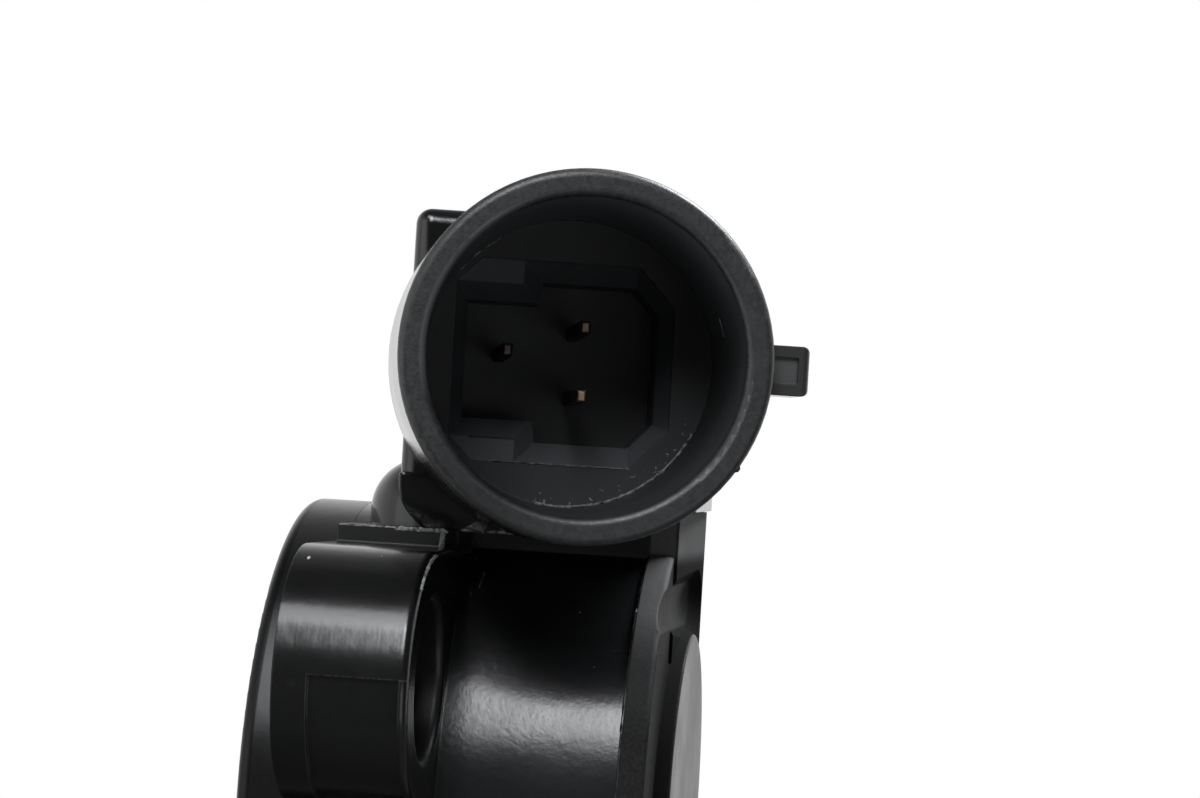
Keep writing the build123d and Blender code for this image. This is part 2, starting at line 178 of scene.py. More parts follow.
class NodeTree:
    """Nodes of a material or of the surround, linked one by one."""

    # Sockets of the Mix node by its kind: factor, first, second and result
    MIX_SOCKETS = {"FLOAT": (0, 2, 3, 0), "RGBA": (0, 6, 7, 2)}

    def __init__(self, owner):
        owner.use_nodes = True
        self.nodes = owner.node_tree.nodes
        self.links = owner.node_tree.links

    def feed(self, socket, value):
        """Links an output to a socket, or sets a constant on it."""
        if isinstance(value, bpy.types.NodeSocket):
            self.links.new(value, socket)
        else:
            socket.default_value = value

    def math(self, operation, a, b=0.0):
        node = self.nodes.new("ShaderNodeMath")
        node.operation = operation
        self.feed(node.inputs[0], a)
        self.feed(node.inputs[1], b)
        return node.outputs[0]

    def product(self, first, *others):
        """Masks, or a mask and a share, multiplied together."""
        result = first
        for other in others:
            result = self.math("MULTIPLY", result, other)
        return result

    def ramp(self, value, low, high, out_low=0.0, out_high=1.0):
        """Smooth step from one result at low to the other at high."""
        node = self.nodes.new("ShaderNodeMapRange")
        node.interpolation_type = "SMOOTHSTEP"
        node.inputs["From Min"].default_value = low
        node.inputs["From Max"].default_value = high
        node.inputs["To Min"].default_value = out_low
        node.inputs["To Max"].default_value = out_high
        self.links.new(value, node.inputs["Value"])
        return node.outputs["Result"]

    def below(self, value, edge, soft):
        """One up to an edge, then down to nothing over a soft distance."""
        return self.ramp(value, edge + soft, edge)

    def above(self, value, edge, soft):
        """One from an edge on, after a rise from nothing over a soft distance."""
        return self.ramp(value, edge - soft, edge)

    def mixed(self, kind, factor, a, b):
        node = self.nodes.new("ShaderNodeMix")
        node.data_type = kind
        share, first, second, result = self.MIX_SOCKETS[kind]
        self.feed(node.inputs[share], factor)
        self.feed(node.inputs[first], a)
        self.feed(node.inputs[second], b)
        return node.outputs[result]

    def blend(self, factor, a, b):
        """Mix of two colours."""
        return self.mixed("RGBA", factor, a, b)

    def mix(self, factor, a, b):
        """Mix of two numbers."""
        return self.mixed("FLOAT", factor, a, b)


class Finish(NodeTree):
    """One procedural material on Object coordinates."""

    def __init__(self, name):
        self.material = bpy.data.materials.new(name)
        super().__init__(self.material)
        self.shader = self.nodes["Principled BSDF"]
        self.place = self.nodes.new("ShaderNodeTexCoord").outputs["Object"]

    def set(self, **values):
        """Constants on the shader's own sockets."""
        for key, value in values.items():
            self.shader.inputs[key.replace("_", " ")].default_value = value

    def noise(self, scale, detail=4.0, rough=0.55, stretch=None):
        node = self.nodes.new("ShaderNodeTexNoise")
        node.inputs["Scale"].default_value = scale
        node.inputs["Detail"].default_value = detail
        node.inputs["Roughness"].default_value = rough
        place = self.place
        if stretch:
            mapping = self.nodes.new("ShaderNodeMapping")
            mapping.inputs["Scale"].default_value = stretch
            self.links.new(place, mapping.inputs["Vector"])
            place = mapping.outputs["Vector"]
        self.links.new(place, node.inputs["Vector"])
        return node.outputs["Fac"]

    def cells(self, scale):
        node = self.nodes.new("ShaderNodeTexVoronoi")
        node.inputs["Scale"].default_value = scale
        self.links.new(self.place, node.inputs["Vector"])
        return node.outputs["Distance"]

    def spread(self, pattern, low=0.0, high=1.0):
        """Middle range of a noise pattern, spread between two values."""
        return self.ramp(pattern, 0.3, 0.7, low, high)

    def along(self, direction, origin):
        """Distance of a point from origin along a direction."""
        shift = self.nodes.new("ShaderNodeVectorMath")
        shift.operation = "SUBTRACT"
        self.links.new(self.place, shift.inputs[0])
        shift.inputs[1].default_value = origin
        dot = self.nodes.new("ShaderNodeVectorMath")
        dot.operation = "DOT_PRODUCT"
        self.links.new(shift.outputs["Vector"], dot.inputs[0])
        dot.inputs[1].default_value = direction
        return dot.outputs["Value"]

    def axes(self):
        """The three coordinates of a point."""
        return [self.along(axis, ORIGIN) for axis in (AXIS_X, AXIS_Y, AXIS_Z)]

    def radius(self, a, b):
        """Distance from an axis, from two distances square to it."""
        return self.math("SQRT", self.math("ADD", self.product(a, a), self.product(b, b)))

    def bump(self, height, strength, distance, under=None):
        node = self.nodes.new("ShaderNodeBump")
        node.inputs["Strength"].default_value = strength
        node.inputs["Distance"].default_value = distance
        self.links.new(height, node.inputs["Height"])
        if under is not None:
            self.links.new(under, node.inputs["Normal"])
        return node.outputs["Normal"]

    def soft_edges(self, radius):
        node = self.nodes.new("ShaderNodeBevel")
        node.samples = 4
        node.inputs["Radius"].default_value = radius
        return node.outputs["Normal"]

    def shine(self, level):
        """Strength of the mirror light, which varies over the surface."""
        self.feed(self.shader.inputs["Specular IOR Level"], level)

    def finish(self, colour, roughness, normal):
        self.feed(self.shader.inputs["Base Color"], colour)
        self.feed(self.shader.inputs["Roughness"], roughness)
        self.feed(self.shader.inputs["Normal"], normal)
        return self.material


def grey(value, tint=0.0):
    """Neutral colour with a slight cool tint."""
    return (value * (1.0 - tint), value, value * (1.0 + tint), 1.0)


# Finish of the housing


def housing_places(f):
    """Distances that tell the zones apart: the connector's own, the body's and the ear's."""
    x, y, z = f.axes()
    depth, side, high = f.along(-OUTWARD, MOUTH), f.along(ACROSS, MOUTH), f.along(AXIS_Z, MOUTH)
    screw = Vector((0.0, EAR_Y, EAR_Z))
    return SimpleNamespace(
        x=x,
        y=y,
        z=z,
        depth=depth,
        side=side,
        high=high,
        tube_radius=f.radius(side, high),
        body_radius=f.radius(y, z),
        screw_radius=f.radius(f.along(AXIS_Y, screw), f.along(AXIS_Z, screw)),
    )


def housing_zones(f, at):
    """Masks of the zones that have a finish of their own."""
    zone = SimpleNamespace()
    zone.rim = f.product(
        f.below(at.depth, RIM_DEPTH, 0.35 * MM),
        f.below(at.tube_radius, SHROUD_RADIUS + 0.1 * MM, 0.2 * MM),
    )
    entry = f.product(
        f.below(at.tube_radius, SHELF_RADIUS + 0.05 * MM, 0.1 * MM),
        f.below(at.side, ENTRY_REACH, 0.2 * MM),
    )
    zone.socket = f.product(
        f.below(at.tube_radius, MOUTH_RADIUS + 0.1 * MM, 0.15 * MM),
        f.above(at.depth, 2.0 * RIM_DEPTH, 0.5 * MM),
        f.math("MAXIMUM", f.below(at.depth, SHELF_DEPTH + 0.3 * MM, 0.3 * MM), entry),
        f.below(at.depth, FLOOR_DEPTH + 0.2 * MM, 0.2 * MM),
    )
    zone.nib = f.product(
        f.above(at.side, SHROUD_RADIUS + 0.2 * MM, 0.3 * MM),
        f.below(at.depth, NIB_FRONT + 0.5 * MM, 0.3 * MM),
    )
    zone.nib_inset = f.product(
        zone.nib,
        f.above(at.depth, NIB_FRONT + 0.18 * MM, 0.08 * MM),
        f.below(at.depth, NIB_FRONT + 0.30 * MM, 0.08 * MM),
    )
    zone.barrel = f.product(
        f.below(at.body_radius, BODY_RADIUS + 0.2 * MM, 0.3 * MM),
        f.above(at.x, EAR_FACE + 0.1 * MM, 0.2 * MM),
    )
    zone.ear = f.product(
        f.below(at.screw_radius, EAR_RADIUS + 0.2 * MM, 0.2 * MM),
        f.below(at.x, EAR_FACE + 0.05 * MM, 0.15 * MM),
        f.above(at.x, 0.05 * MM, 0.2 * MM),
    )
    zone.screw_recess = f.product(zone.ear, f.below(at.screw_radius, SCREW_HEAD_RADIUS + 0.1 * MM, 0.5 * MM))
    zone.pilot = f.below(at.x, -0.15 * MM, 0.2 * MM)
    zone.dulled_pilot = f.product(
        zone.pilot,
        f.above(at.z, 7.2 * MM, 3.8 * MM),
        f.below(at.z, 10.0 * MM, 3.0 * MM),
    )
    zone.pilot_edge = f.product(
        f.below(at.x, PILOT_EDGE_X - 0.05 * MM, 0.2 * MM),
        f.above(at.body_radius, PILOT_RADIUS - 0.4 * MM, 0.3 * MM),
    )
    zone.ledge = f.product(
        f.above(at.y, LEDGE_Y - 0.2 * MM, 0.2 * MM),
        f.below(at.y, LEDGE_Y + 0.2 * MM, 0.2 * MM),
        f.above(at.z, LEDGE_LOW + 0.15 * MM, 0.2 * MM),
        f.below(at.z, LEDGE_Z + 0.3 * MM, 0.2 * MM),
        f.below(at.x, LEDGE_X + 0.2 * MM, 0.1 * MM),
    )
    return zone


def housing_wear_and_highlights(f, at, zone, streak):
    """Masks of worn marks and painted highlights: pale specks low in the socket that are scuffs and painted
    glints, worn patches, painted highlights along the edges of the ear's pocket.
    """
    speck = f.math("GREATER_THAN", f.noise(3100.0, 2.0, 0.7), 0.665)
    # Pale specks on the low shelf: scuffs, and painted glints where the shelf catches light.
    scuff_and_glint = f.product(
        speck,
        zone.socket,
        f.above(at.tube_radius, SHELF_RADIUS - 0.4 * MM, 0.8 * MM),
        f.above(at.depth, SHELF_DEPTH - 0.7 * MM, 0.7 * MM),
        f.below(at.high, -4.2 * MM, 1.8 * MM),
        f.above(at.side, -0.8 * MM, 1.4 * MM),
    )
    worn = f.product(f.ramp(f.noise(420.0, 6.0, 0.7), 0.62, 0.75), 0.25)
    from_left = f.math("ABSOLUTE", f.math("SUBTRACT", at.x, POCKET_LEFT))
    from_top = f.math("ABSOLUTE", f.math("SUBTRACT", at.z, POCKET_TOP))
    left_edge = f.product(f.below(from_left, 0.03 * MM, 0.06 * MM), f.below(at.z, POCKET_TOP, 0.06 * MM))
    top_edge = f.product(f.below(from_top, 0.03 * MM, 0.06 * MM), f.above(at.x, POCKET_LEFT, 0.06 * MM))
    # Painted highlight: pale lines along the left and top edges of the ear's pocket.
    pocket_edge_highlight = f.product(
        f.math("MAXIMUM", left_edge, top_edge),
        f.ramp(streak, 0.35, 0.55, 0.25, 1.0),
        zone.ear,
        f.above(at.screw_radius, EAR_RADIUS - 0.35 * MM, 0.15 * MM),
    )
    return SimpleNamespace(scuff_and_glint=scuff_and_glint, worn=worn, pocket_edge_highlight=pocket_edge_highlight)


def rim_colour(f, at):
    """Mottled rim, darker at the low left, with a painted highlight along the inner edge of the mouth at the
    left.
    """
    mottle = f.ramp(f.noise(2300.0, 4.0, 0.75), 0.36, 0.64)
    tone = f.blend(mottle, grey(0.014, 0.03), grey(0.027, 0.03))
    low_left = f.product(f.below(at.high, -8.0 * MM, 4.0 * MM), f.below(at.side, -5.5 * MM, 4.5 * MM))
    tone = f.blend(f.product(low_left, 0.8), tone, grey(0.007, 0.03))
    # Painted highlight: a pale band along the inner edge of the mouth, at the left.
    painted_lip_highlight = f.product(
        f.below(at.tube_radius, MOUTH_RADIUS + 0.3 * MM, 0.2 * MM),
        f.below(at.side, -6.5 * MM, 3.5 * MM),
        f.above(at.high, -0.5 * MM, 3.0 * MM),
    )
    return f.blend(painted_lip_highlight, tone, grey(0.075, 0.02))


def socket_painted_light_and_shade(f, at):
    """Painted light and shade in the socket, all of it paler than the plastic outside: a wall paler toward
    the upper left, a shelf darker toward its top, keyed-entry walls paler toward the bottom, a dark floor.
    """
    # Painted light: the wall grows paler toward the upper left.
    up_left = f.math("SUBTRACT", at.high, f.product(at.side, 0.3))
    tone = f.blend(f.ramp(up_left, -2.7 * MM, 6.4 * MM), grey(0.022, 0.07), grey(0.080, 0.07))
    # Painted shade: the shelf grows darker toward its top.
    shelf = f.blend(f.ramp(at.high, -3.0 * MM, 1.0 * MM), grey(0.020, 0.07), grey(0.013, 0.07))
    # Painted light: the keyed entry's walls grow paler toward the bottom.
    entry_wall_painted_light = f.blend(f.ramp(at.high, -2.6 * MM, -4.4 * MM), grey(0.048, 0.07), grey(0.080, 0.07))
    tone = f.blend(f.above(at.depth, SHELF_DEPTH - 0.05 * MM, 0.1 * MM), tone, shelf)
    tone = f.blend(f.above(at.depth, SHELF_DEPTH + 0.4 * MM, 0.3 * MM), tone, entry_wall_painted_light)
    return f.blend(f.above(at.depth, FLOOR_DEPTH - 0.1 * MM, 0.2 * MM), tone, grey(0.022, 0.07))


def housing_colour(f, at, zone, wear_and_highlights, cloud, grain):
    """Black plastic, with the tones of its zones, its worn marks and its painted light and shade laid over
    it in turn.
    """
    colour = f.blend(f.spread(cloud), grey(0.0030, 0.05), grey(0.0046, 0.06))
    layers = (
        (zone.barrel, grey(0.0085, 0.06)),
        (f.product(f.ramp(grain, 0.45, 0.75), 0.3), grey(0.009, 0.03)),
        (f.product(zone.rim, 0.85), rim_colour(f, at)),
        # Painted light: the nib is paler than the plastic around it, and its inset paler still.
        (f.product(zone.nib, 0.7), grey(0.024)),
        (f.product(zone.nib_inset, 0.8), grey(0.065)),
        # Painted light and shade inside the socket.
        (zone.socket, socket_painted_light_and_shade(f, at)),
        (wear_and_highlights.worn, grey(0.016, 0.02)),
        # Painted highlight on the edges of the ear's pocket.
        (wear_and_highlights.pocket_edge_highlight, grey(0.032)),
        (zone.ledge, grey(0.010, 0.02)),
        # Pale specks on the low shelf: scuffs and painted glints.
        (f.product(wear_and_highlights.scuff_and_glint, 0.75), grey(0.30)),
    )
    for mask, tone in layers:
        colour = f.blend(mask, colour, tone)
    return colour


def housing_roughness(f, zone, wear_and_highlights, cloud, grain):
    """Glossy at large, duller on the pilot's side, the rim and in the socket."""
    rough = f.ramp(cloud, 0.25, 0.75, 0.13, 0.18)
    layers = (
        (zone.barrel, f.spread(cloud, 0.20, 0.26)),
        (zone.ear, f.spread(cloud, 0.19, 0.24)),
        (zone.pilot, f.spread(cloud, 0.22, 0.27)),
        (zone.dulled_pilot, 0.45),
        (zone.rim, f.spread(grain, 0.34, 0.46)),
        (zone.socket, f.spread(cloud, 0.44, 0.54)),
        (zone.nib, 0.42),
        (zone.ledge, 0.30),
        (zone.screw_recess, f.spread(cloud, 0.40, 0.50)),
    )
    for mask, value in layers:
        rough = f.mix(mask, rough, value)
    return f.math("ADD", rough, f.product(f.math("ADD", wear_and_highlights.worn, wear_and_highlights.scuff_and_glint), 0.2))


def housing_relief(f, zone, wear_and_highlights, streak, grain):
    """Orange peel, finer on the barrel, with streaks on the ear and sand on the rim and on the shelf's pale
    specks.
    """
    peel = f.noise(1150.0, 2.0, 0.5)
    fine_peel = f.noise(2700.0, 3.0, 0.6)
    sand = f.noise(7600.0, 3.0, 0.7)
    normal = f.bump(peel, 0.10, 0.10 * MM, f.soft_edges(0.14 * MM))
    normal = f.bump(f.product(fine_peel, zone.barrel), 0.16, 0.06 * MM, normal)
    normal = f.bump(f.product(streak, zone.ear), 0.07, 0.03 * MM, normal)
    normal = f.bump(grain, 0.04, 0.03 * MM, normal)
    return f.bump(f.product(f.math("ADD", zone.rim, wear_and_highlights.scuff_and_glint), sand), 0.4, 0.03 * MM, normal)


def housing_plastic():
    """Moulded black plastic: glossy barrel and ears, sandy rim with a painted highlight on its inner edge,
    dull socket with painted light and shade, and a scuffed shelf with painted glints.
    """
    f = Finish("housing_plastic")
    f.set(IOR=1.5)
    cloud = f.noise(140.0, 5.0)
    grain = f.noise(5200.0, 3.0, 0.6)
    streak = f.noise(4600.0, 3.0, 0.6, stretch=(1.0, 0.03, 0.03))
    at = housing_places(f)
    zone = housing_zones(f, at)
    wear_and_highlights = housing_wear_and_highlights(f, at, zone, streak)
    f.shine(f.ramp(zone.pilot_edge, 0.0, 1.0, 0.5, 0.18))
    return f.finish(
        housing_colour(f, at, zone, wear_and_highlights, cloud, grain),
        housing_roughness(f, zone, wear_and_highlights, cloud, grain),
        housing_relief(f, zone, wear_and_highlights, streak, grain),
    )


# Other finishes


def cover_plastic():
    """Moulded black: a matte band with a fine grain and painted light that grows toward its top, a dull face
    with painted light on its upper tab, a smoother pad.
    """
    f = Finish("cover_plastic")
    f.set(IOR=1.48)
    cloud = f.noise(160.0, 4.0)
    grain = f.noise(4300.0, 4.0, 0.65)
    pits = f.cells(2400.0)
    x, y, z = f.axes()
    face = f.above(x, COVER_X + 0.10 * MM, 0.15 * MM)
    pad_top = f.above(x, PAD_TOP_X - 0.08 * MM, 0.08 * MM)
    tab = f.above(z, COVER_TAB_Z, 1.2 * MM)
    outside = f.above(f.radius(y, z), COVER_RADIUS - 0.15 * MM, 0.15 * MM)
    # Painted light on the band: darker toward the bottom, paler toward the top.
    band = f.blend(f.ramp(z, 5.2 * MM, 9.0 * MM), grey(0.013), grey(0.032, 0.01))
    band = f.blend(f.ramp(z, 9.0 * MM, 13.5 * MM), band, grey(0.105))
    band = f.blend(f.product(f.spread(cloud), 0.25), band, grey(0.030, 0.01))
    band = f.blend(f.product(f.ramp(grain, 0.4, 0.75), 0.25), band, grey(0.060))
    band = f.blend(outside, grey(0.016, 0.01), band)
    # Painted light: the upper tab of the face is paler than the rest of the face.
    face_tone_painted_light = f.blend(tab, grey(0.008), grey(0.060, 0.01))
    face_tone_painted_light = f.blend(f.product(f.spread(cloud), 0.3), face_tone_painted_light, grey(0.013, 0.01))
    colour = f.blend(face, band, face_tone_painted_light)
    rough = f.math("ADD", f.spread(cloud, 0.46, 0.54), f.spread(grain, -0.05, 0.06))
    rough = f.mix(face, rough, f.mix(tab, 0.85, 0.52))
    rough = f.mix(pad_top, rough, f.spread(cloud, 0.26, 0.34))
    f.shine(f.ramp(pad_top, 0.0, 1.0, 0.02, 0.10))
    normal = f.bump(pits, 0.12, 0.05 * MM, f.soft_edges(0.16 * MM))
    normal = f.bump(grain, 0.3, 0.05 * MM, normal)
    return f.finish(colour, rough, normal)


def rotor_plastic():
    """Dark grey filled plastic with a glass-fibre fleck."""
    f = Finish("rotor_plastic")
    f.set(IOR=1.5)
    cloud = f.noise(220.0, 4.0)
    fibre = f.noise(1900.0, 3.0, 0.6, stretch=(0.25, 1.0, 1.0))
    colour = f.blend(f.spread(cloud), grey(0.075, 0.01), grey(0.115, 0.01))
    colour = f.blend(f.product(f.ramp(fibre, 0.58, 0.75), 0.5), colour, grey(0.19))
    rough = f.spread(cloud, 0.40, 0.55)
    normal = f.bump(fibre, 0.2, 0.04 * MM, f.soft_edges(0.12 * MM))
    return f.finish(colour, rough, normal)


def contact_metal():
    """Bright copper-alloy spring strip with rolling lines and stains."""
    f = Finish("contact_metal")
    f.set(Metallic=1.0)
    lines = f.noise(2600.0, 4.0, 0.6, stretch=(1.0, 0.08, 0.08))
    stain = f.noise(700.0, 4.0)
    colour = f.blend(f.spread(lines), (0.66, 0.47, 0.22, 1.0), (0.80, 0.62, 0.34, 1.0))
    colour = f.blend(f.product(f.ramp(stain, 0.55, 0.75), 0.4), colour, (0.36, 0.22, 0.11, 1.0))
    rough = f.spread(lines, 0.22, 0.36)
    return f.finish(colour, rough, f.bump(lines, 0.1, 0.02 * MM))


def laminate_card():
    """Brown laminate with a woven ground."""
    f = Finish("laminate_card")
    upright = f.noise(2400.0, 2.0, 0.5, stretch=(1.0, 1.0, 0.12))
    crosswise = f.noise(2400.0, 2.0, 0.5, stretch=(1.0, 0.12, 1.0))
    weave = f.math("ADD", f.product(upright, 0.5), f.product(crosswise, 0.5))
    colour = f.blend(f.ramp(weave, 0.4, 0.6), (0.24, 0.16, 0.07, 1.0), (0.38, 0.29, 0.15, 1.0))
    rough = f.ramp(weave, 0.35, 0.65, 0.42, 0.58)
    return f.finish(colour, rough, f.bump(weave, 0.2, 0.03 * MM))


def track_ink():
    """Printed carbon track, matte and a little uneven."""
    f = Finish("track_ink")
    grain = f.noise(5200.0, 3.0, 0.6)
    cloud = f.noise(600.0, 4.0)
    colour = f.blend(f.ramp(grain, 0.35, 0.7), grey(0.010), grey(0.028))
    rough = f.spread(cloud, 0.38, 0.62)
    return f.finish(colour, rough, f.bump(grain, 0.25, 0.02 * MM))


def spring_steel():
    """Drawn wire with die lines and a faint straw tint."""
    f = Finish("spring_steel")
    f.set(Metallic=1.0)
    lines = f.noise(3800.0, 3.0, 0.6, stretch=(1.0, 0.2, 0.2))
    tint = f.noise(380.0, 3.0)
    colour = f.blend(f.spread(tint), (0.50, 0.50, 0.51, 1.0), (0.60, 0.57, 0.50, 1.0))
    rough = f.spread(lines, 0.24, 0.38)
    return f.finish(colour, rough, f.bump(lines, 0.12, 0.02 * MM))


def seal_rubber():
    """Black moulded rubber with bloom."""
    f = Finish("seal_rubber")
    f.set(IOR=1.5)
    bloom = f.noise(330.0, 5.0)
    grain = f.noise(4200.0, 3.0, 0.6)
    colour = f.blend(f.ramp(bloom, 0.35, 0.75), grey(0.012), grey(0.032, 0.02))
    rough = f.spread(grain, 0.55, 0.75)
    return f.finish(colour, rough, f.bump(grain, 0.2, 0.04 * MM))


def washer_plastic():
    """Natural nylon, milky, with turning lines."""
    f = Finish("washer_plastic")
    f.set(IOR=1.53, Subsurface_Weight=0.1, Subsurface_Scale=0.4 * MM)
    cloud = f.noise(500.0, 4.0)
    lines = f.noise(2600.0, 2.0, 0.5, stretch=(1.0, 0.3, 0.3))
    colour = f.blend(f.spread(cloud), (0.68, 0.66, 0.60, 1.0), (0.80, 0.79, 0.74, 1.0))
    rough = f.spread(lines, 0.34, 0.48)
    return f.finish(colour, rough, f.bump(lines, 0.1, 0.03 * MM))


def blade_metal():
    """Dark tinned blade: stamping lines along it, dull patches, brass on the cut tip, faded on the left
    blade by painted shade and fainter toward the top.
    """
    f = Finish("blade_metal")
    f.set(Metallic=1.0)
    lines = f.noise(3000.0, 4.0, 0.6, stretch=(1.0, 0.1, 1.0))
    dull = f.noise(1500.0, 4.0)
    tip = f.below(f.along(-OUTWARD, MOUTH), BLADE_TIP, 0.06 * MM)
    # Brass on the cut tips; painted shade fades it on the left blade, and it is fainter toward the top.
    bare_tip_and_painted_shade = f.product(
        tip,
        f.ramp(f.along(ACROSS, MOUTH), -3.0 * MM, -1.0 * MM, 0.25, 1.0),
        f.ramp(f.along(AXIS_Z, MOUTH), 0.8 * MM, -0.8 * MM, 0.35, 1.0),
    )
    colour = f.blend(f.ramp(dull, 0.35, 0.7), (0.03, 0.028, 0.026, 1.0), (0.06, 0.055, 0.05, 1.0))
    colour = f.blend(bare_tip_and_painted_shade, colour, (0.28, 0.20, 0.14, 1.0))
    rough = f.spread(lines, 0.36, 0.52)
    return f.finish(colour, rough, f.bump(lines, 0.12, 0.02 * MM, f.soft_edges(0.05 * MM)))


def torn_flash():
    """Stress-whitened mould flash: black plastic gone pale where it tore."""
    f = Finish("torn_flash")
    f.set(IOR=1.5)
    tear = f.noise(2600.0, 5.0, 0.7)
    patch = f.noise(900.0, 3.0)
    pale = f.product(f.ramp(tear, 0.36, 0.56), f.ramp(patch, 0.36, 0.58, 0.35, 1.0))
    colour = f.blend(pale, grey(0.04, 0.02), grey(0.24, 0.01))
    rough = f.spread(tear, 0.4, 0.7)
    return f.finish(colour, rough, f.bump(tear, 0.4, 0.05 * MM))


def clean_flash():
    """Thin mould flash that stayed black, with a few pale nicks."""
    f = Finish("clean_flash")
    f.set(IOR=1.5)
    nick = f.noise(2100.0, 4.0, 0.7)
    cloud = f.noise(300.0, 3.0)
    colour = f.blend(f.spread(cloud), grey(0.012, 0.02), grey(0.020, 0.02))
    colour = f.blend(f.product(f.ramp(nick, 0.62, 0.72), 0.6), colour, grey(0.16))
    rough = f.spread(nick, 0.3, 0.5)
    return f.finish(colour, rough, f.bump(nick, 0.25, 0.04 * MM))


def dust():
    """Pale dust grains."""
    f = Finish("dust")
    f.set(IOR=1.4)
    cloud = f.noise(6000.0, 3.0)
    colour = f.blend(f.spread(cloud), (0.36, 0.35, 0.33, 1.0), (0.62, 0.61, 0.58, 1.0))
    rough = f.spread(cloud, 0.7, 0.95)
    return f.finish(colour, rough, f.bump(cloud, 0.3, 0.02 * MM))


def dress_node(name, material):
    """Gives a CAD node its finish in every slot."""
    mesh = nodes[name].data
    if not mesh.materials:
        mesh.materials.append(material)
    for index in range(len(mesh.materials)):
        mesh.materials[index] = material


# Modelling helpers


def clear_selection():
    if bpy.context.mode != "OBJECT":
        bpy.ops.object.mode_set(mode="OBJECT")
    bpy.ops.object.select_all(action="DESELECT")


def choose(piece, test, kind="VERT"):
    """Selects the vertices, or the edges by their two ends, that pass a test, and enters edit mode."""
    bpy.ops.object.mode_set(mode="EDIT")
    bpy.ops.mesh.select_mode(type=kind)
    bpy.ops.mesh.select_all(action="DESELECT")
    bpy.ops.object.mode_set(mode="OBJECT")
    mesh = piece.data
    if kind == "VERT":
        for vertex in mesh.vertices:
            vertex.select = test(vertex.co)
    else:
        for edge in mesh.edges:
            edge.select = test(*(mesh.vertices[i].co for i in edge.vertices))
    bpy.ops.object.mode_set(mode="EDIT")


def choose_all(piece):
    choose(piece, lambda c: True)


def tear_points(offset, seed):
    """Moves the chosen vertices at random, the same way each run."""
    bpy.ops.transform.vertex_random(offset=offset, uniform=0.0, normal=0.0, seed=seed)


def settle(piece, name, material, place=None, body="housing_body"):
    """Puts a finished mesh in its place, smooths it, and makes it ride on its body, if it has just one."""
    bpy.ops.object.mode_set(mode="EDIT")
    bpy.ops.mesh.select_mode(type="VERT")
    bpy.ops.mesh.select_all(action="SELECT")
    bpy.ops.mesh.remove_doubles(threshold=MERGE)
    bpy.ops.mesh.normals_make_consistent(inside=False)
    bpy.ops.object.mode_set(mode="OBJECT")
    if place is not None:
        piece.matrix_world = place
    bpy.ops.object.transform_apply(location=True, rotation=True, scale=True)
    bpy.ops.object.shade_smooth_by_angle(angle=SMOOTH_ANGLE)
    piece.name = name
    piece.data.name = name
    piece.data.materials.clear()
    piece.data.materials.append(material)
    if body is not None:
        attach(piece, body)
    return piece


def frame_on(start, end, up):
    """Matrix with x from start to end, z nearest to up, centred between them."""
    x = (end - start).normalized()
    z = (up - x * up.dot(x)).normalized()
    y = z.cross(x)
    middle = (start + end) / 2
    return Matrix(
        (
            (x.x, y.x, z.x, middle.x),
            (x.y, y.y, z.y, middle.y),
            (x.z, y.z, z.z, middle.z),
            (0.0, 0.0, 0.0, 1.0),
        )
    )


def on_connector(u, v, depth):
    """Point in the connector's own directions, behind the rim."""
    return CONNECTOR @ Vector((u, v, -depth))


def on_cylinder(x, angle, radius, y=0.0, z=0.0):
    """Point and outward direction on a cylinder along X; the angle is up from the -Y side."""
    out = Vector((0.0, -cos(angle), sin(angle)))
    return Vector((x, y, z)) + out * radius, out


def new_block(long, wide, high):
    """Cube primitive at the origin, stretched to its size."""
    clear_selection()
    bpy.ops.mesh.primitive_cube_add(size=1.0)
    piece = bpy.context.active_object
    piece.scale = (long, wide, high)
    bpy.ops.object.transform_apply(location=False, rotation=False, scale=True)
    return piece


def wear_block(piece, bevel, cuts, smoothness, tear, seed):
    """Rounds all edges of a block and makes its surface uneven."""
    choose_all(piece)
    bpy.ops.mesh.bevel(offset=bevel, segments=2, affect="EDGES")
    bpy.ops.mesh.select_all(action="SELECT")
    bpy.ops.mesh.subdivide(number_cuts=cuts, smoothness=smoothness)
    tear_points(tear, seed)


def ragged_strip(name, start, end, up, wide, high, cuts, tear, seed, material):
    """Thin ridge of mould flash between two points, torn along its free edge."""
    length = (end - start).length
    piece = new_block(length, wide, high)
    choose(piece, lambda a, b: abs(a.x - b.x) > 0.5 * length, "EDGE")
    bpy.ops.mesh.subdivide(number_cuts=cuts)
    choose(piece, lambda c: c.z > 0.0)
    bpy.ops.transform.resize(value=(1.0, 0.4, 1.0), center_override=(0.0, 0.0, 0.0))
    tear_points(tear, seed)
    choose(piece, lambda c: c.z > 0.0 and abs(c.x) > 0.49 * length)
    bpy.ops.transform.translate(value=(0.0, 0.0, -0.6 * high))
    choose_all(piece)
    bpy.ops.mesh.subdivide(number_cuts=2, smoothness=0.6)
    tear_points(0.2 * tear, seed + 1)
    return settle(piece, name, material, frame_on(start, end, up))


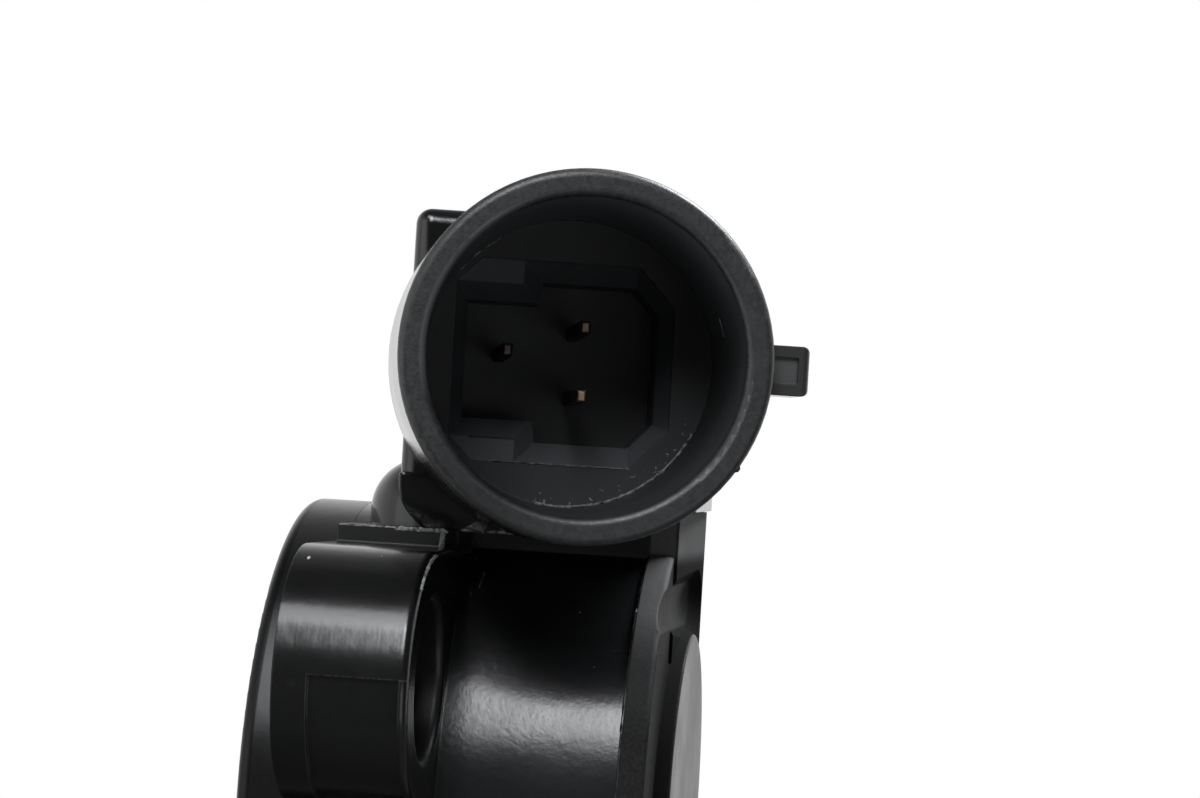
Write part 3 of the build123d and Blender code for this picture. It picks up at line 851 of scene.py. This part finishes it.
def ragged_ring(name, radius, thick, arc, steps, tear, seed, material, place):
    """Bead of flash on an arc about the local z axis, uneven along its length."""
    clear_selection()
    upright = (pi / 2, 0.0, 0.0)
    bpy.ops.mesh.primitive_circle_add(vertices=6, radius=thick, fill_type="NGON", rotation=upright)
    piece = bpy.context.active_object
    piece.location = (radius, 0.0, 0.0)
    bpy.ops.object.transform_apply(location=True, rotation=True, scale=True)
    from_angle, to_angle = arc
    piece.data.transform(Matrix.Rotation(from_angle, 4, "Z"))
    choose_all(piece)
    bpy.ops.mesh.spin(steps=steps, angle=from_angle - to_angle, center=(0.0, 0.0, 0.0), axis=(0.0, 0.0, 1.0))
    bpy.ops.mesh.select_all(action="SELECT")
    bpy.ops.mesh.remove_doubles(threshold=2.0 * MERGE)
    tear_points(tear, seed)
    return settle(piece, name, material, place)


def socket_ring(name, radius, depth, thick, arc, steps, tear, seed, material):
    """Bead of flash on an arc about the connector's axis, at a depth behind the rim."""
    place = CONNECTOR @ Matrix.Translation((0.0, 0.0, -depth))
    ends = [radians(end) for end in arc]
    return ragged_ring(name, radius, thick, ends, steps, tear, seed, material, place)


# Mould flash


def seam_flash(material):
    """Uneven bead where the cover meets the housing."""
    place = Matrix.Translation((SEAM_X - 0.02 * MM, 0.0, 0.0)) @ Matrix.Rotation(pi / 2, 4, "Y")
    return ragged_ring(
        "seam_flash", BODY_RADIUS + 0.12 * MM, thick=0.13 * MM, arc=(0.0, SEAM_ARC), steps=260,
        tear=0.09 * MM, seed=4, material=material, place=place,
    )


def shelf_flash(material):
    """Torn ring of flash in the corner between the socket's shelf and its wall, on the low right."""
    return socket_ring(
        "shelf_flash", SHELF_RADIUS - 0.08 * MM, SHELF_DEPTH - 0.05 * MM, thick=0.09 * MM,
        arc=(-100.0, -26.0), steps=90, tear=0.07 * MM, seed=9, material=material,
    )


def shelf_high_flash(material):
    """Short torn strand of flash at the shelf's edge, high on the left."""
    return socket_ring(
        "shelf_high_flash", SHELF_RADIUS - 0.06 * MM, SHELF_DEPTH - 0.05 * MM, thick=0.05 * MM,
        arc=(122.0, 142.0), steps=26, tear=0.04 * MM, seed=12, material=material,
    )


def wall_scratch(material):
    """Fine raised scratch on the socket's right wall."""
    return socket_ring(
        "wall_scratch", MOUTH_RADIUS - 0.12 * MM, 10.0 * MM, thick=0.035 * MM, arc=(13.0, 20.0), steps=12,
        tear=0.02 * MM, seed=14, material=material,
    )


def entry_flash(material):
    """Torn edge along the bottom of the plug's keyed entry."""
    depth = SHELF_DEPTH - 0.02 * MM
    start = on_connector(ENTRY_LEFT, ENTRY_LOW, depth)
    end = on_connector(ENTRY_RIGHT, ENTRY_LOW, depth)
    return ragged_strip(
        "entry_flash", start, end, OUTWARD, wide=0.12 * MM, high=0.12 * MM, cuts=30, tear=0.07 * MM, seed=21,
        material=material,
    )


def key_flash(material):
    """Fine burr along the front edge of the key block."""
    low, depth = KEY_LOW - 0.03 * MM, KEY_DEPTH - 0.02 * MM
    start = on_connector(KEY_LEFT, low, depth)
    end = on_connector(KEY_RIGHT, low, depth)
    return ragged_strip(
        "key_flash", start, end, OUTWARD, wide=0.10 * MM, high=0.08 * MM, cuts=12, tear=0.03 * MM, seed=23,
        material=material,
    )


def ledge_flash(material):
    """Fine torn flash along the top edge of the ledge over the ear."""
    y, z = LEDGE_Y + 0.03 * MM, LEDGE_Z - 0.03 * MM
    return ragged_strip(
        "ledge_flash", Vector((0.05 * MM, y, z)), Vector((4.4 * MM, y, z)), Vector((0.0, -0.5, 1.0)),
        wide=0.10 * MM, high=0.07 * MM, cuts=24, tear=0.05 * MM, seed=31, material=material,
    )


def ledge_thick_flash(material):
    """Thicker flash toward the end of the ledge."""
    y, z = LEDGE_Y + 0.05 * MM, LEDGE_Z - 0.05 * MM
    return ragged_strip(
        "ledge_thick_flash", Vector((3.6 * MM, y, z)), Vector((LEDGE_X + 0.3 * MM, y, z)),
        Vector((0.0, -0.7, 1.0)), wide=0.26 * MM, high=0.18 * MM, cuts=22, tear=0.13 * MM, seed=33,
        material=material,
    )


def ledge_end_flash(material):
    """Curl of torn flash down the end of the ledge."""
    start = Vector((LEDGE_X + 0.05 * MM, LEDGE_Y + 0.05 * MM, LEDGE_Z + 0.05 * MM))
    end = Vector((LEDGE_X - 0.1 * MM, LEDGE_Y + 0.05 * MM, LEDGE_LOW - 0.1 * MM))
    return ragged_strip(
        "ledge_end_flash", start, end, Vector((1.0, -0.5, 0.0)), wide=0.26 * MM, high=0.26 * MM, cuts=12,
        tear=0.16 * MM, seed=37, material=material,
    )


def ledge_foot_flash(material):
    """Torn flash along the lower edge of the ledge, by its end."""
    y, z = LEDGE_Y + 0.04 * MM, LEDGE_LOW + 0.05 * MM
    return ragged_strip(
        "ledge_foot_flash", Vector((5.5 * MM, y, z)), Vector((LEDGE_X + 0.1 * MM, y, z)),
        Vector((0.0, -1.0, -0.4)), wide=0.30 * MM, high=0.20 * MM, cuts=8, tear=0.12 * MM, seed=39,
        material=material,
    )


def shoulder_flash(material):
    """Thin flash under the shoulder, on toward the tube."""
    y, z = SHOULDER_FRONT + 0.02 * MM, LEDGE_Z + 0.02 * MM
    return ragged_strip(
        "shoulder_flash", Vector((LEDGE_X + 0.7 * MM, y, z)), Vector((SHOULDER_RIGHT, y, z)),
        Vector((0.0, -1.0, 0.3)), wide=0.16 * MM, high=0.24 * MM, cuts=18, tear=0.09 * MM, seed=41,
        material=material,
    )


def junction_flash(material):
    """Thin torn strand where the ear's edge meets the barrel."""
    start = on_cylinder(8.15 * MM, radians(64.0), BODY_RADIUS)[0]
    end = on_cylinder(8.55 * MM, radians(49.0), BODY_RADIUS)[0]
    return ragged_strip(
        "junction_flash", start, end, start, wide=0.08 * MM, high=0.12 * MM, cuts=20, tear=0.06 * MM,
        seed=45, material=material,
    )


def junction_short_flash(material):
    """Second, shorter strand beside the first."""
    start = on_cylinder(9.05 * MM, radians(58.0), BODY_RADIUS)[0]
    end = on_cylinder(8.95 * MM, radians(52.5), BODY_RADIUS)[0]
    return ragged_strip(
        "junction_short_flash", start, end, start, wide=0.06 * MM, high=0.08 * MM, cuts=10, tear=0.05 * MM,
        seed=49, material=material,
    )


def ear_corner_flash(material):
    """Worn flash along the upper part of the ear's outer edge."""
    place = Matrix.Translation((EAR_FACE - 0.03 * MM, EAR_Y, EAR_Z)) @ Matrix.Rotation(pi / 2, 4, "Y")
    return ragged_ring(
        "ear_corner_flash", EAR_RADIUS - 0.28 * MM, thick=0.09 * MM, arc=(radians(180.0), radians(222.0)),
        steps=60, tear=0.07 * MM, seed=16, material=material, place=place,
    )


def corner_web(material):
    """Small web of plastic left in the corner between shoulder and tube."""
    piece = new_block(1.5 * MM, 1.3 * MM, 0.8 * MM)
    choose(piece, lambda c: c.x < 0.0 and c.z > 0.0)
    bpy.ops.transform.translate(value=(0.9 * MM, 0.0, 0.0))
    choose(piece, lambda c: c.y < 0.0)
    bpy.ops.transform.resize(value=(0.45, 1.0, 0.45))
    wear_block(piece, bevel=0.14 * MM, cuts=2, smoothness=0.2, tear=0.05 * MM, seed=47)
    place = Matrix.Translation((8.35 * MM, SHOULDER_FRONT - 0.45 * MM, LEDGE_Z + 0.35 * MM))
    place = place @ Matrix.Rotation(radians(12.0), 4, "Y")
    return settle(piece, "corner_web", material, place)


def rim_burr(material):
    """Tiny burr on the outer edge of the rim, low on the right."""
    piece = new_block(0.2 * MM, 0.6 * MM, 0.4 * MM)
    choose(piece, lambda c: c.x > 0.0)
    bpy.ops.transform.resize(value=(1.0, 0.35, 0.5))
    wear_block(piece, bevel=0.06 * MM, cuts=1, smoothness=0.3, tear=0.03 * MM, seed=53)
    place = CONNECTOR @ Matrix.Rotation(radians(-33.0), 4, "Z")
    place = place @ Matrix.Translation((SHROUD_RADIUS + 0.02 * MM, 0.0, -0.5 * MM))
    return settle(piece, "rim_burr", material, place)


# Rib, foot of the block, spring and dust


def pilot_rib(material):
    """Rib on the ledge that carries the pilot's round on to the shoulder."""
    clear_selection()
    bpy.ops.mesh.primitive_cylinder_add(vertices=RIB_SIDES, radius=PILOT_RADIUS - 0.02 * MM, depth=RIB_LONG)
    piece = bpy.context.active_object
    bpy.ops.object.transform_apply(location=True, rotation=True, scale=True)
    choose_all(piece)
    ledge_cut = (LEDGE_Z - 0.1 * MM, 0.0, 0.0)
    bpy.ops.mesh.bisect(
        plane_co=ledge_cut, plane_no=(1.0, 0.0, 0.0), use_fill=True, clear_inner=True, threshold=MERGE
    )
    choose_all(piece)
    back_cut = (0.0, RIB_BACK, 0.0)
    bpy.ops.mesh.bisect(
        plane_co=back_cut, plane_no=(0.0, 1.0, 0.0), use_fill=True, clear_outer=True, threshold=MERGE
    )
    place = Matrix.Translation((RIB_LONG / 2 - 0.2 * MM, 0.0, 0.0)) @ Matrix.Rotation(-pi / 2, 4, "Y")
    return settle(piece, "pilot_rib", material, place)


def block_root(material):
    """Foot of the connector block, which narrows from the left as it runs down to the ledge."""
    clear_selection()
    low = LEDGE_Z + 0.02 * MM
    bpy.ops.mesh.primitive_cube_add(size=1.0)
    piece = bpy.context.active_object
    choose_all(piece)
    bpy.ops.mesh.subdivide(number_cuts=ROOT_STEPS - 1)
    near = 0.25 / ROOT_STEPS
    front = -0.49
    for row in range(ROOT_STEPS):
        height = row / ROOT_STEPS - 0.5
        drop = (1.0 - row / ROOT_STEPS) ** ROOT_CURVE
        for column in reversed(range(ROOT_STEPS)):
            across = column / ROOT_STEPS - 0.5
            shift = drop * (0.5 - across)
            inward, back = shift * ROOT_INWARD / ROOT_WIDE, shift * ROOT_BACK / ROOT_DEEP
            choose(piece, lambda c: abs(c.z - height) < near and abs(c.x - across) < near and c.y > front)
            bpy.ops.transform.translate(value=(inward, 0.0, 0.0))
            choose(piece, lambda c: abs(c.z - height) < near and abs(c.x - across) < near and c.y < front)
            bpy.ops.transform.translate(value=(inward, back, 0.0))
    bpy.ops.object.mode_set(mode="OBJECT")
    piece.scale = (ROOT_WIDE, ROOT_DEEP, ROOT_TOP - low)
    bpy.ops.object.transform_apply(location=False, rotation=False, scale=True)
    piece.modifiers.new("soft", "SUBSURF").levels = 2
    bpy.ops.object.modifier_apply(modifier="soft")
    place = Matrix.Translation((ROOT_LEFT, ROOT_FRONT, (low + ROOT_TOP) / 2)) @ Matrix.Rotation(LEAN, 4, "Z")
    place = place @ Matrix.Translation((ROOT_WIDE / 2, ROOT_DEEP / 2, 0.0))
    return settle(piece, "block_root", material, place)


def torsion_spring(material):
    """Round wire coil with a leg in the housing and a leg in the rotor."""
    clear_selection()
    bpy.ops.mesh.primitive_circle_add(vertices=WIRE_SIDES, radius=WIRE_RADIUS, rotation=(pi / 2, 0.0, 0.0))
    piece = bpy.context.active_object
    piece.location = (SPRING_RADIUS, 0.0, 0.0)
    bpy.ops.object.transform_apply(location=True, rotation=True, scale=True)
    coil = piece.modifiers.new("coil", "SCREW")
    coil.axis = "Z"
    coil.steps = coil.render_steps = COIL_STEPS
    coil.iterations = SPRING_TURNS
    coil.screw_offset = SPRING_PITCH
    bpy.ops.object.modifier_apply(modifier="coil")
    coil_long = SPRING_TURNS * SPRING_PITCH
    half_pitch = 0.5 * SPRING_PITCH
    choose(piece, lambda c: abs(c.y) < MERGE and c.z < half_pitch and c.x > 0.0)
    bpy.ops.mesh.edge_face_add()
    choose(piece, lambda c: abs(c.y) < MERGE and c.z > coil_long - half_pitch and c.x > 0.0)
    bpy.ops.mesh.edge_face_add()
    for low, high in ((-SPRING_LEG, 0.0), (coil_long, LEG_END - SPRING_BACK)):
        middle = (SPRING_RADIUS, 0.0, (low + high) / 2)
        bpy.ops.mesh.primitive_cylinder_add(
            vertices=WIRE_SIDES, radius=WIRE_RADIUS, depth=high - low, location=middle
        )
    place = Matrix(
        (
            (0.0, 0.0, 1.0, SPRING_BACK),
            (1.0, 0.0, 0.0, 0.0),
            (0.0, 1.0, 0.0, 0.0),
            (0.0, 0.0, 0.0, 1.0),
        )
    )
    settle(piece, "torsion_spring", material, place, None)
    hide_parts("return_spring")
    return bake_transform(piece)


def dust_grain(point, out, size, seed):
    """Flattened uneven grain that lies on a surface."""
    clear_selection()
    bpy.ops.mesh.primitive_ico_sphere_add(subdivisions=2, radius=size)
    grain = bpy.context.active_object
    choose_all(grain)
    tear_points(0.3 * size, seed)
    bpy.ops.object.mode_set(mode="OBJECT")
    grain.scale = (1.5, 0.9, 0.5)
    bpy.ops.object.transform_apply(location=False, rotation=False, scale=True)
    upright = out.to_track_quat("Z", "X").to_matrix().to_4x4()
    grain.matrix_world = Matrix.Translation(point + out * 0.2 * size) @ upright
    bpy.ops.object.transform_apply(location=True, rotation=True, scale=True)
    return grain


def dust_grains(material):
    """Grains of dust on the ear and the barrel, each with its x, its angle in degrees and its size."""
    on_ear = ((0.9 * MM, 64.0, 0.12 * MM), (5.1 * MM, 71.0, 0.025 * MM))
    on_barrel = ((15.6 * MM, 47.0, 0.026 * MM), (17.0 * MM, 33.0, 0.018 * MM))
    spots = [(on_cylinder(x, radians(angle), EAR_RADIUS, EAR_Y, EAR_Z), size) for x, angle, size in on_ear]
    spots += [(on_cylinder(x, radians(angle), BODY_RADIUS), size) for x, angle, size in on_barrel]
    grains = [dust_grain(point, out, size, 60 + number) for number, ((point, out), size) in enumerate(spots)]
    clear_selection()
    for grain in grains:
        grain.select_set(True)
    bpy.context.view_layer.objects.active = grains[0]
    bpy.ops.object.join()
    return settle(bpy.context.active_object, "dust_grains", material)


# Studio


def pale_floor():
    """Pale floor disc, white to the camera apart from the sensor's shadow, and dim in reflections."""
    clear_selection()
    place = (*FLOOR_MIDDLE, cad_low.z - FLOOR_DROP)
    bpy.ops.mesh.primitive_circle_add(vertices=96, radius=FLOOR_RADIUS, fill_type="NGON", location=place)
    floor = bpy.context.active_object
    floor.name = "pale_floor"
    material = bpy.data.materials.new("pale_floor")
    tree = NodeTree(material)
    tree.nodes.clear()
    from_camera = tree.nodes.new("ShaderNodeLightPath").outputs["Is Camera Ray"]
    from_middle = tree.nodes.new("ShaderNodeVectorMath")
    from_middle.operation = "LENGTH"
    tree.feed(from_middle.inputs[0], tree.nodes.new("ShaderNodeTexCoord").outputs["Object"])
    fade = tree.ramp(from_middle.outputs["Value"], 0.4 * FLOOR_RADIUS, 0.95 * FLOOR_RADIUS, FLOOR_WHITE)
    paint = tree.nodes.new("ShaderNodeBsdfDiffuse")
    tree.feed(paint.inputs["Color"], tree.blend(from_camera, FLOOR_MIRRORED, FLOOR_SEEN))
    white = tree.nodes.new("ShaderNodeEmission")
    white.inputs["Color"].default_value = WHITE
    surface = tree.nodes.new("ShaderNodeMixShader")
    tree.feed(surface.inputs[0], tree.product(fade, from_camera))
    tree.feed(surface.inputs[1], paint.outputs[0])
    tree.feed(surface.inputs[2], white.outputs[0])
    tree.feed(tree.nodes.new("ShaderNodeOutputMaterial").inputs["Surface"], surface.outputs[0])
    floor.data.materials.append(material)


def white_surround():
    """White to the camera; for the object, white sweeps behind and at its left, a dim room in front."""
    world = bpy.data.worlds.new("white_surround")
    bpy.context.scene.world = world
    tree = NodeTree(world)
    back = tree.nodes["Background"]
    back.inputs["Color"].default_value = WHITE
    split = tree.nodes.new("ShaderNodeSeparateXYZ")
    tree.feed(split.inputs[0], tree.nodes.new("ShaderNodeTexCoord").outputs["Generated"])
    path = tree.nodes.new("ShaderNodeLightPath")
    behind = tree.ramp(split.outputs["Y"], 0.05, 0.55)
    at_left = tree.ramp(split.outputs["X"], -0.15, -0.65)
    not_overhead = tree.ramp(split.outputs["Z"], 0.80, 0.30, SWEEP_LEAST)
    sweep = tree.product(tree.math("MAXIMUM", behind, at_left), not_overhead)
    mirrored = tree.math("MAXIMUM", path.outputs["Is Glossy Ray"], path.outputs["Is Transmission Ray"])
    backdrop = tree.product(sweep, tree.ramp(mirrored, 0.0, 1.0, DIFFUSE_SHARE))
    seen = tree.math("MAXIMUM", backdrop, path.outputs["Is Camera Ray"])
    tree.feed(back.inputs["Strength"], tree.math("MAXIMUM", seen, ROOM_LEVEL))


def softbox(name, place, aim, size, power):
    """Rectangular soft light that faces a point."""
    lamp = bpy.data.lights.new(name, "AREA")
    lamp.shape = "RECTANGLE"
    lamp.size, lamp.size_y = size
    lamp.energy = power
    lamp.color = LAMP_COLOUR
    light = bpy.data.objects.new(name, lamp)
    bpy.context.scene.collection.objects.link(light)
    light.location = place
    light.rotation_euler = (Vector(aim) - Vector(place)).to_track_quat("-Z", "Y").to_euler()


def studio_camera():
    """Camera of the photograph: nearly level, a little to the cover's side, rolled a few degrees."""
    turn, tilt, roll = radians(6.8), radians(1.1), radians(3.5)
    aim = Vector((17.7, -25.6, 25.6)) * MM
    distance = 190.0 * MM
    forward = Vector((-sin(turn) * cos(tilt), cos(turn) * cos(tilt), sin(tilt)))
    level = Vector((cos(turn), sin(turn), 0.0))
    upright = level.cross(forward)
    right = level * cos(roll) + upright * sin(roll)
    up = upright * cos(roll) - level * sin(roll)
    place = aim - forward * distance
    lens = bpy.data.cameras.new("studio_camera")
    lens.sensor_fit = "HORIZONTAL"
    lens.sensor_width = SENSOR_WIDTH
    lens.lens = FOCAL_LENGTH
    lens.clip_start = 0.005
    lens.clip_end = 20.0
    camera = bpy.data.objects.new("studio_camera", lens)
    bpy.context.scene.collection.objects.link(camera)
    camera.matrix_world = Matrix(
        (
            (right.x, up.x, -forward.x, place.x),
            (right.y, up.y, -forward.y, place.y),
            (right.z, up.z, -forward.z, place.z),
            (0.0, 0.0, 0.0, 1.0),
        )
    )
    bpy.context.scene.camera = camera


moulded = housing_plastic()
dress_node("housing", moulded)
dress_node("cover", cover_plastic())
dress_node("rotor", rotor_plastic())
dress_node("wiper", contact_metal())
dress_node("element_card", laminate_card())
ink = track_ink()
dress_node("resistance_track", ink)
dress_node("collector_track", ink)
steel = spring_steel()
dress_node("return_spring", steel)
dress_node("rotor_seal", seal_rubber())
dress_node("thrust_washer", washer_plastic())
blade = blade_metal()
for terminal in ("terminal_a", "terminal_b", "terminal_c"):
    dress_node(terminal, blade)

pale = torn_flash()
black = clean_flash()
seam_flash(black)
shelf_flash(pale)
entry_flash(pale)
key_flash(black)
ledge_flash(pale)
ledge_thick_flash(pale)
ledge_end_flash(pale)
ledge_foot_flash(pale)
torsion_spring(steel)
pilot_rib(moulded)
block_root(moulded)
shoulder_flash(pale)
corner_web(pale)
junction_flash(pale)
junction_short_flash(pale)
ear_corner_flash(pale)
shelf_high_flash(pale)
wall_scratch(pale)
rim_burr(moulded)
dust_grains(dust())

pale_floor()
white_surround()
body_middle = (0.012, -0.020, 0.012)
softbox("top_softbox", (-0.08, -0.345, 0.455), body_middle, size=(0.28, 0.17), power=1.07)
softbox("front_softbox", (0.01, -0.41, 0.325), body_middle, size=(0.16, 0.20), power=1.5)
softbox("back_softbox", (0.30, 0.20, 0.50), (0.018, -0.010, 0.012), size=(0.25, 0.25), power=8.0)
softbox("fill_softbox", (0.31, -0.46, -0.16), (0.016, -0.020, 0.022), size=(0.30, 0.30), power=0.36)
softbox("left_softbox", (-0.38, -0.32, 0.10), (0.006, -0.010, 0.020), size=(0.34, 0.34), power=0.22)
studio_camera()
bpy.context.scene.view_settings.view_transform = "Standard"
